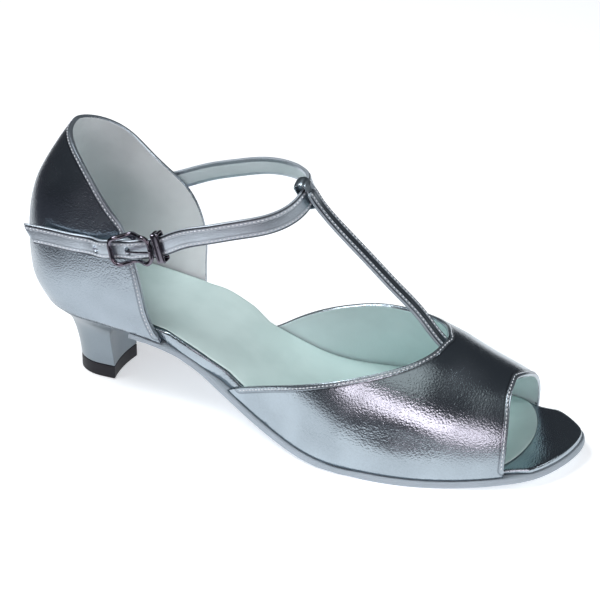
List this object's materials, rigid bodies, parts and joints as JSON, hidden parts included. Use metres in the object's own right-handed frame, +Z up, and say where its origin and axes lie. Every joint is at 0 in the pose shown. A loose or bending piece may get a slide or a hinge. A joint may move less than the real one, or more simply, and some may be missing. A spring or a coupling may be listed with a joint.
{
  "type": "ballroom dance shoe",
  "caption": "Lady's right peep-toe T-bar dance shoe with a closed heel cup, a buckled ankle strap and a low flared heel.",
  "frame": {"origin": "middle of the heel tip's floor face", "axes": "+X toward the toe, +Y toward the inner side of the foot, +Z up from the floor"},
  "size_m": [0.2411, 0.0856, 0.1146],
  "materials": {
    "silver_leather": "metallic silver, smooth with a fine crackle",
    "strap_leather": "metallic silver, satin",
    "edge_leather": "metallic silver wrap, satin",
    "sock_leather": "matt pale grey-green lining",
    "sole_suede": "matt suede with a grey edge",
    "tip_rubber": "black, semi-matt",
    "dark_chrome": "dark polished plate"
  },
  "bodies": {
    "root": {"outsole": "sole_suede", "insole": "edge_leather", "sock_lining": "sock_leather", "counter": "silver_leather", "vamp": "silver_leather", "heel": "silver_leather", "heel_tip": "tip_rubber", "t_bar": "strap_leather", "ankle_strap": "strap_leather", "buckle_tab": "strap_leather", "buckle_frame": "dark_chrome", "buckle_prong": "dark_chrome", "strap_keeper": "dark_chrome"}
  },
  "joints": []
}
